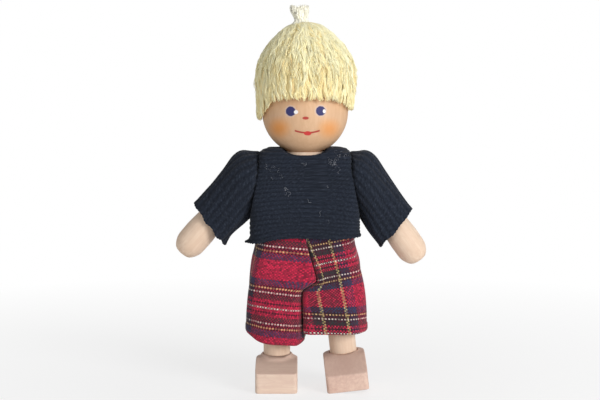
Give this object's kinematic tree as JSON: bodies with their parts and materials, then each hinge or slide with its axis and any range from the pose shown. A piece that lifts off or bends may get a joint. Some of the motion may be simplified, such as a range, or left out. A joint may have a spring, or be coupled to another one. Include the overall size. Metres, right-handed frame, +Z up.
{
  "type": "miniature jointed wooden doll",
  "caption": "Miniature jointed wooden doll with a ball head, yarn hair, knitted sweater and tartan shorts; dowel limbs on elastic swing, spread and stay where they are put.",
  "frame": {"origin": "on the floor under the middle of the doll's box, between the feet", "axes": "+Z up along the body, the doll faces -Y, its left side is +X"},
  "size_m": [0.0646, 0.0256, 0.0989],
  "materials": {
    "wood": "sanded pale wood, waxed",
    "face_wood": "sanded wood with a painted face",
    "knit": "rib knit, dark navy",
    "tartan": "woven red tartan",
    "yarn": "loose pale yellow yarn",
    "elastic": "covered white elastic"
  },
  "bodies": {
    "torso": {"torso_block": "wood", "sweater_front": "knit", "sweater_back": "knit", "waist_elastic": "elastic", "left_shorts_leg": "tartan", "right_shorts_leg": "tartan"},
    "neck": {"neck_collar": "wood", "neck_elastic": "elastic"},
    "head": {"head_ball": "face_wood", "hair_cap": "yarn", "hair_tuft": "yarn", "hair_tie": "yarn"},
    "left_shoulder": {"left_arm_elastic": "elastic", "left_sleeve": "knit"},
    "left_upper_limb": {"left_arm": "wood"},
    "left_hip": {"left_leg_elastic": "elastic"},
    "left_lower_limb": {"left_leg": "wood", "left_foot": "wood"},
    "right_shoulder": {"right_arm_elastic": "elastic", "right_sleeve": "knit"},
    "right_upper_limb": {"right_arm": "wood"},
    "right_hip": {"right_leg_elastic": "elastic"},
    "right_lower_limb": {"right_leg": "wood", "right_foot": "wood"}
  },
  "joints": [
    {"name": "neck_turn", "type": "hinge", "parent": "torso", "child": "neck", "pos_m": [0.00104, 0, 0.0589], "axis": [0, 0, 1], "range_deg": [-90, 90]},
    {"name": "head_nod", "type": "hinge", "parent": "neck", "child": "head", "pos_m": [0.00104, 0, 0.07088], "axis": [1, 0, 0], "range_deg": [-15, 15], "deforming": ["neck_elastic"]},
    {"name": "left_arm_swing", "type": "hinge", "parent": "torso", "child": "left_shoulder", "pos_m": [0.01424, 0, 0.0557], "axis": [-1, 0, 0], "range_deg": [-60, 150]},
    {"name": "left_arm_raise", "type": "hinge", "parent": "left_shoulder", "child": "left_upper_limb", "pos_m": [0.01424, 0, 0.0557], "axis": [0, -1, 0], "range_deg": [-10, 47], "deforming": ["left_sleeve", "left_arm_elastic"]},
    {"name": "left_leg_swing", "type": "hinge", "parent": "torso", "child": "left_hip", "pos_m": [0.00834, 0, 0.03234], "axis": [-1, 0, 0], "range_deg": [-30, 90], "deforming": ["left_shorts_leg"]},
    {"name": "left_leg_splay", "type": "hinge", "parent": "left_hip", "child": "left_lower_limb", "pos_m": [0.00834, 0, 0.03234], "axis": [0, -1, 0], "range_deg": [-6.5, 3.5], "deforming": ["left_leg_elastic"]},
    {"name": "right_arm_swing", "type": "hinge", "parent": "torso", "child": "right_shoulder", "pos_m": [-0.01216, 0, 0.0557], "axis": [-1, 0, 0], "range_deg": [-60, 150]},
    {"name": "right_arm_raise", "type": "hinge", "parent": "right_shoulder", "child": "right_upper_limb", "pos_m": [-0.01216, 0, 0.0557], "axis": [0, 1, 0], "range_deg": [-15, 41], "deforming": ["right_sleeve", "right_arm_elastic"]},
    {"name": "right_leg_swing", "type": "hinge", "parent": "torso", "child": "right_hip", "pos_m": [-0.00626, 0, 0.032], "axis": [-1, 0, 0], "range_deg": [-30, 90], "deforming": ["right_shorts_leg"]},
    {"name": "right_leg_splay", "type": "hinge", "parent": "right_hip", "child": "right_lower_limb", "pos_m": [-0.00626, 0, 0.032], "axis": [0, 1, 0], "range_deg": [0, 10], "deforming": ["right_leg_elastic"]}
  ]
}
